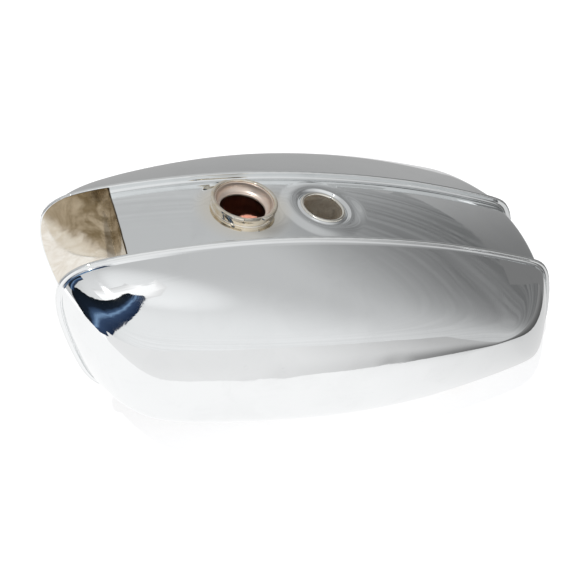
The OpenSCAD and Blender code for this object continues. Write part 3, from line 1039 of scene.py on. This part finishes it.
def front_edge(tree):
    """What stands beyond the table in front: pale, and dark towards the tail."""
    along = ramp(tree, part_of(tree, world_place(tree), "X"), -0.7, 0.7)
    low = stepped(tree, along, (
        (0, 0.90), (0.36, 0.90), (0.5, 0.80), (0.62, 0.66), (0.70, 0.32), (0.82, 0.16),
    ))
    high = stepped(tree, along, ((0, 0.88), (0.5, 0.86), (0.65, 0.72), (0.8, 0.52), (1, 0.42)))
    height = ramp(tree, part_of(tree, world_place(tree), "Z"), 0.02, 0.18)
    return mix_colours(tree, height, low, high)


def tail_edge(tree):
    """What stands beyond the table behind the tail: nearly black at the foot."""
    height = ramp(tree, part_of(tree, world_place(tree), "Z"), 0.0, 0.12)
    return stepped(tree, height, ((0, 0.10), (0.5, 0.15), (1, 0.24)))


def tail_grey(tree):
    """The side of the room behind the tail, which is darkest in front."""
    depth = ramp(tree, part_of(tree, world_place(tree), "Y"), 0.0, 0.4)
    return stepped(tree, depth, ((0, 0.20), (1, 0.41)))


def back_edge(tree):
    """The grey room behind, which darkens the far lobe's shoulder."""
    height = ramp(tree, part_of(tree, world_place(tree), "Z"), 0.0, 0.5)
    return stepped(tree, height, ((0, 0.42), (0.5, 0.40), (1, 0.46)))


def table_top(tree):
    """The table as the chrome sees it: white in front of the nose, with painted shade that turns it
    grey towards the tail.
    """
    along = ramp(tree, part_of(tree, world_place(tree), "X"), -0.35, 0.35)
    return stepped(tree, along, (
        (0, 1.05), (0.42, 1.04), (0.62, 1.02), (0.76, 0.97), (0.88, 0.86), (1, 0.68),
    ))


CAMERA_AZIMUTH = -15.89
CAMERA_ELEVATION = 44.07
CAMERA_DISTANCE = 1.3
CAMERA_LENS = 80.04
SENSOR_WIDTH = 36
AIM_HEIGHT = 0.090
AIM_SIDEWAYS = -0.01878
AIM_UP = 0.00797


def studio_camera():
    """The camera, aimed at the tank from the rider's left and from the front."""
    camera = in_scene("camera", bpy.data.cameras.new("camera"))
    back = toward_sky(CAMERA_AZIMUTH, CAMERA_ELEVATION)
    turn = math.radians(CAMERA_AZIMUTH)
    right = Vector((math.cos(turn), math.sin(turn), 0))
    up = back.cross(right)
    aim = Vector((0, 0, AIM_HEIGHT)) + AIM_SIDEWAYS * right + AIM_UP * up
    axes = Matrix((right, up, back)).transposed().to_4x4()
    camera.matrix_world = Matrix.Translation(aim + CAMERA_DISTANCE * back) @ axes
    camera.data.lens = CAMERA_LENS
    camera.data.sensor_width = SENSOR_WIDTH
    return camera


def studio_world():
    """A pale sky: brighter before the nose and overhead, dimmer past the tail, banded low down."""
    world = bpy.data.worlds.new("studio")
    world.use_nodes = True
    tree = world.node_tree
    direction = add(tree, "TexCoord").outputs["Generated"]

    def facing(azimuth, elevation):
        aimed = {0: direction, 1: tuple(toward_sky(azimuth, elevation))}
        return add(tree, "VectorMath", aimed, operation="DOT_PRODUCT").outputs["Value"]

    in_front = ramp(tree, facing(-12, 32), 0.4, 1.0, 0.56, 0.88)
    overhead = ramp(tree, facing(8, 79), 0.965, 0.997, 0.0, 0.20)
    past_tail = ramp(tree, facing(112, 10), 0.62, 1.0, 0.0, 0.38)
    layers = noise(tree, stretched(tree, direction, (1.5, 1.5, 46)), 1.0, 2.0, 0.5, 0.2)
    bands = ramp(tree, layers, 0.3, 0.7, -0.045, 0.045)
    low_down = ramp(tree, facing(0, 90), 0.8, 0.4)
    light = calc(tree, "SUBTRACT", calc(tree, "ADD", in_front, overhead), past_tail)
    light = calc(tree, "ADD", light, product(tree, low_down, bands))
    channels = {"Red": light, "Green": product(tree, light, 1.01), "Blue": product(tree, light, 1.015)}
    sky = add(tree, "CombineColor", channels).outputs[0]
    background = next(n for n in tree.nodes if n.type == "BACKGROUND")
    tree.links.new(sky, background.inputs["Color"])
    background.inputs["Strength"].default_value = 1.0
    return world


FLOOR_HALF = 4000
FLOOR_Z = -0.3


def white_floor():
    """A matt floor that glows enough to come out plain and pale."""
    material, _, shader, _ = new_material("white_floor")
    shader.inputs["Base Color"].default_value = (0.55, 0.55, 0.56, 1)
    shader.inputs["Roughness"].default_value = 0.9
    shader.inputs["Emission Color"].default_value = (1, 1, 1, 1)
    shader.inputs["Emission Strength"].default_value = 0.62
    signs = ((-1, -1), (1, -1), (1, 1), (-1, 1))
    corners = [[x * FLOOR_HALF, y * FLOOR_HALF, FLOOR_Z] for x, y in signs]
    new_object("floor", corners, [(0, 1, 2, 3)], material, smooth=False)


scene = bpy.context.scene
scene.view_settings.view_transform = "Standard"
scene.camera = studio_camera()
scene.world = studio_world()
white_floor()

# The sky cards' rows are (elevation, first azimuth, last azimuth), in degrees.
CARD_DISTANCE = 0.9
WINDOW_DISTANCE = 0.95
navy_cloth = glowing("navy_cloth", navy)
sky_card("dark_card", (
    (-6, -82, -70), (6, -88, -55), (20, -87, -48), (32, -80, -40), (42, -66, -33), (52, -56, -25),
    (60, -46, -18), (66, -38, -13), (70, -33, -9), (74, -27, -2), (76.5, -20, 0),
), CARD_DISTANCE, navy_cloth)
sky_card("dark_card_edge", (
    (14, -93, -84), (30, -92, -83), (45, -91, -81), (57, -89, -79),
), CARD_DISTANCE, navy_cloth)
sky_card("window_strip", (
    (56, -66, -40), (62, -60, -30), (68, -52, -20), (73, -45, -5), (77, -38, 20), (80, -30, 50),
    (83, -18, 80),
), WINDOW_DISTANCE, glowing("window_light", window))

# The table's edges, in metres: the walls stand on them, and the chrome shows no table past them.
TABLE_LEFT = -1.2
TABLE_TAIL = 0.37
TABLE_BACK = 0.42
TABLE_Z = -0.0002
FRONT_LEFT = (TABLE_LEFT, -0.60)
FRONT_TAIL = (TABLE_TAIL, -0.36)
MIDDLE_TAIL = (TABLE_TAIL, -0.02)
BACK_TAIL = (TABLE_TAIL, TABLE_BACK)
BACK_LEFT = (TABLE_LEFT, TABLE_BACK)

for name, ends, height, look in (
    ("front_wall", (FRONT_LEFT, FRONT_TAIL), 0.30, front_edge),
    ("tail_wall", (FRONT_TAIL, MIDDLE_TAIL), 0.12, tail_edge),
    ("tail_back_wall", (MIDDLE_TAIL, BACK_TAIL), 0.22, tail_grey),
    ("back_wall", (BACK_LEFT, BACK_TAIL), 0.26, back_edge),
):
    corners = [(x, y, z) for z in (0, height) for x, y in ends]
    card(name, corners, [(0, 1, 3, 2)], glowing(look.__name__, look))
table = [(x, y, TABLE_Z) for x, y in (FRONT_LEFT, FRONT_TAIL, BACK_TAIL, BACK_LEFT)]
card("table_top", table, [(0, 1, 2, 3)], glowing("table_top", table_top))

sun = in_scene("sun", bpy.data.lights.new("sun", "SUN"))
sun.data.energy = 1.2
sun.data.angle = math.radians(1.5)
sun.rotation_euler = toward_sky(-39, 68).to_track_quat("Z", "Y").to_euler()

# A thin beam from just below the filler's mouth, which lights one spot of the primer inside.
LIT_SPOT = Vector((-0.025, 0.138, 0.063))
BEAM_DROP = Vector((0, 0, 0.008))
beam = in_scene("filler_beam", bpy.data.lights.new("filler_beam", "SPOT"))
beam.data.energy = 2.4
beam.data.spot_size = math.radians(11)
beam.data.spot_blend = 0.15
beam.data.shadow_soft_size = 0.001
beam.location = FILLER_PLACE.translation - BEAM_DROP
beam.rotation_euler = (beam.location - LIT_SPOT).to_track_quat("Z", "Y").to_euler()
